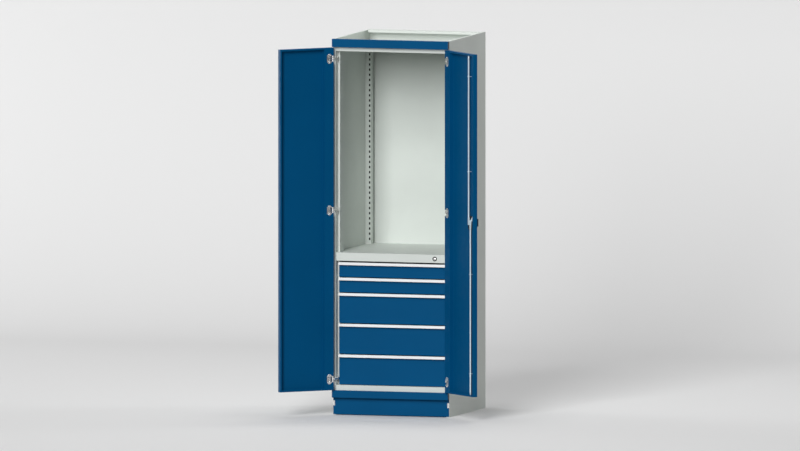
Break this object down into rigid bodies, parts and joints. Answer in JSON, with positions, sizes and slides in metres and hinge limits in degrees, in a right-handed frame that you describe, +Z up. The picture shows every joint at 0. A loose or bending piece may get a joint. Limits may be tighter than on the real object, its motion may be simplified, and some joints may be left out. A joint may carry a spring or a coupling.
{
  "type": "two-door tool cabinet with drawers",
  "caption": "Tall sheet-steel tool cabinet: hinged doors with a rod lock, open slotted upper compartment, and a bank of lockable drawers below a shelf, on a plinth.",
  "frame": {"origin": "on the floor, midway between the side panels and midway between the carcass front plane and the back", "axes": "+X to the right of someone facing the front, +Y to the back, +Z up"},
  "size_m": [1.0114, 0.8453, 1.834],
  "materials": {
    "grey_paint": "satin powder coat, light grey",
    "blue_paint": "satin powder coat, blue",
    "nickel": "bright nickel plate",
    "black_plastic": "fine grained black",
    "zinc": "bright zinc plate",
    "clip_steel": "bright spring steel",
    "runner_steel": "bright zinc plate",
    "box_paint": "satin powder coat, light grey",
    "anodised_strip": "satin anodised"
  },
  "bodies": {
    "cabinet": {"left_side_panel": "grey_paint", "right_side_panel": "grey_paint", "front_uprights": "grey_paint", "rear_uprights": "grey_paint", "back_panel": "grey_paint", "top_panel": "grey_paint", "bottom_panel": "grey_paint", "base_frame": "grey_paint", "middle_shelf": "grey_paint", "top_fascia": "blue_paint", "bottom_fascia": "blue_paint", "plinth_panel": "blue_paint", "plinth_clips": "clip_steel", "left_hinge_mounts": "nickel", "right_hinge_mounts": "nickel", "fixed_runners": "runner_steel", "lock_housing": "black_plastic"},
    "left_door": {"left_door": "blue_paint", "left_hinge_cups": "nickel"},
    "left_swing_links": {"left_swing_links": "nickel"},
    "left_carrier_links": {"left_carrier_links": "nickel"},
    "right_door": {"right_door": "blue_paint", "right_hinge_cups": "nickel", "lock_base": "black_plastic", "rod_guides": "blue_paint"},
    "right_swing_links": {"right_swing_links": "nickel"},
    "right_carrier_links": {"right_carrier_links": "nickel"},
    "door_handle": {"turn_handle": "black_plastic", "lock_cam": "zinc"},
    "upper_rod": {"upper_rod": "zinc"},
    "lower_rod": {"lower_rod": "zinc"},
    "drawer_lock": {"lock_cylinder": "nickel"},
    "locking_bar": {"locking_bar": "zinc"},
    "drawer_1": {"drawer_1_front": "blue_paint", "drawer_1_handle": "anodised_strip", "drawer_1_box": "box_paint", "drawer_1_slides": "runner_steel"},
    "drawer_1_extension": {"drawer_1_extension": "runner_steel"},
    "drawer_2": {"drawer_2_front": "blue_paint", "drawer_2_handle": "anodised_strip", "drawer_2_box": "box_paint", "drawer_2_slides": "runner_steel"},
    "drawer_2_extension": {"drawer_2_extension": "runner_steel"},
    "drawer_3": {"drawer_3_front": "blue_paint", "drawer_3_handle": "anodised_strip", "drawer_3_box": "box_paint", "drawer_3_slides": "runner_steel"},
    "drawer_3_extension": {"drawer_3_extension": "runner_steel"},
    "drawer_4": {"drawer_4_front": "blue_paint", "drawer_4_handle": "anodised_strip", "drawer_4_box": "box_paint", "drawer_4_slides": "runner_steel"},
    "drawer_4_extension": {"drawer_4_extension": "runner_steel"},
    "drawer_5": {"drawer_5_front": "blue_paint", "drawer_5_handle": "anodised_strip", "drawer_5_box": "box_paint", "drawer_5_slides": "runner_steel"},
    "drawer_5_extension": {"drawer_5_extension": "runner_steel"}
  },
  "joints": [
    {"name": "left_door_swing", "type": "hinge", "parent": "cabinet", "child": "left_door", "pos_m": [-0.295, -0.322, 0.9575], "axis": [0, 0, -1], "range_deg": [-135, 0]},
    {"name": "left_swing_link_turn", "type": "hinge", "parent": "cabinet", "child": "left_swing_links", "pos_m": [-0.2762, -0.299, 0.9575], "axis": [0, 0, -1], "range_deg": [-135, 0]},
    {"name": "left_carrier_link_turn", "type": "hinge", "parent": "left_swing_links", "child": "left_carrier_links", "pos_m": [-0.28327, -0.32021, 0.9575], "axis": [0, 0, -1], "range_deg": [0, 135]},
    {"name": "right_door_swing", "type": "hinge", "parent": "cabinet", "child": "right_door", "pos_m": [0.295, -0.322, 0.9575], "axis": [0, 0, 1], "range_deg": [-135, 0]},
    {"name": "right_swing_link_turn", "type": "hinge", "parent": "cabinet", "child": "right_swing_links", "pos_m": [0.2762, -0.299, 0.9575], "axis": [0, 0, 1], "range_deg": [-135, 0]},
    {"name": "right_carrier_link_turn", "type": "hinge", "parent": "right_swing_links", "child": "right_carrier_links", "pos_m": [0.28327, -0.32021, 0.9575], "axis": [0, 0, 1], "range_deg": [0, 135]},
    {"name": "upper_rod_slide", "type": "slide", "parent": "right_door", "child": "upper_rod", "axis": [0, 0, 1], "range_m": [-0.00636, 0.00636]},
    {"name": "lower_rod_slide", "type": "slide", "parent": "right_door", "child": "lower_rod", "axis": [0, 0, -1], "range_m": [-0.00637, 0.00637]},
    {"name": "handle_turn", "type": "hinge", "parent": "right_door", "child": "door_handle", "pos_m": [0.4693, -0.49135, 0.968], "axis": [0.7071, 0.7071, 0], "range_deg": [-45, 45]},
    {"name": "drawer_1_pull", "type": "slide", "parent": "cabinet", "child": "drawer_1", "axis": [0, -1, 0], "range_m": [0, 0.48]},
    {"name": "drawer_1_extension_slide", "type": "slide", "parent": "cabinet", "child": "drawer_1_extension", "axis": [0, -1, 0], "range_m": [0, 0.24]},
    {"name": "drawer_2_pull", "type": "slide", "parent": "cabinet", "child": "drawer_2", "axis": [0, -1, 0], "range_m": [0, 0.48]},
    {"name": "drawer_2_extension_slide", "type": "slide", "parent": "cabinet", "child": "drawer_2_extension", "axis": [0, -1, 0], "range_m": [0, 0.24]},
    {"name": "drawer_3_pull", "type": "slide", "parent": "cabinet", "child": "drawer_3", "axis": [0, -1, 0], "range_m": [0, 0.48]},
    {"name": "drawer_3_extension_slide", "type": "slide", "parent": "cabinet", "child": "drawer_3_extension", "axis": [0, -1, 0], "range_m": [0, 0.24]},
    {"name": "drawer_4_pull", "type": "slide", "parent": "cabinet", "child": "drawer_4", "axis": [0, -1, 0], "range_m": [0, 0.48]},
    {"name": "drawer_4_extension_slide", "type": "slide", "parent": "cabinet", "child": "drawer_4_extension", "axis": [0, -1, 0], "range_m": [0, 0.24]},
    {"name": "drawer_5_pull", "type": "slide", "parent": "cabinet", "child": "drawer_5", "axis": [0, -1, 0], "range_m": [0, 0.48]},
    {"name": "drawer_5_extension_slide", "type": "slide", "parent": "cabinet", "child": "drawer_5_extension", "axis": [0, -1, 0], "range_m": [0, 0.24]},
    {"name": "locking_bar_slide", "type": "slide", "parent": "cabinet", "child": "locking_bar", "axis": [0, 0, 1], "range_m": [0, 0.01131]},
    {"name": "drawer_lock_turn", "type": "hinge", "parent": "cabinet", "child": "drawer_lock", "pos_m": [0.22, -0.299, 0.771], "axis": [0, -1, 0], "range_deg": [0, 90]}
  ],
  "couplings": [
    {"joint": "left_swing_link_turn", "follows": "left_door_swing", "ratio": 1},
    {"joint": "left_carrier_link_turn", "follows": "left_door_swing", "ratio": -1},
    {"joint": "right_swing_link_turn", "follows": "right_door_swing", "ratio": 1},
    {"joint": "right_carrier_link_turn", "follows": "right_door_swing", "ratio": -1},
    {"joint": "lower_rod_slide", "follows": "upper_rod_slide", "ratio": 1},
    {"joint": "handle_turn", "follows": "upper_rod_slide", "rad_per_m": 123.41},
    {"joint": "drawer_1_extension_slide", "follows": "drawer_1_pull", "ratio": 0.5},
    {"joint": "drawer_2_extension_slide", "follows": "drawer_2_pull", "ratio": 0.5},
    {"joint": "drawer_3_extension_slide", "follows": "drawer_3_pull", "ratio": 0.5},
    {"joint": "drawer_4_extension_slide", "follows": "drawer_4_pull", "ratio": 0.5},
    {"joint": "drawer_5_extension_slide", "follows": "drawer_5_pull", "ratio": 0.5},
    {"joint": "drawer_lock_turn", "follows": "locking_bar_slide", "rad_per_m": 138.84}
  ]
}
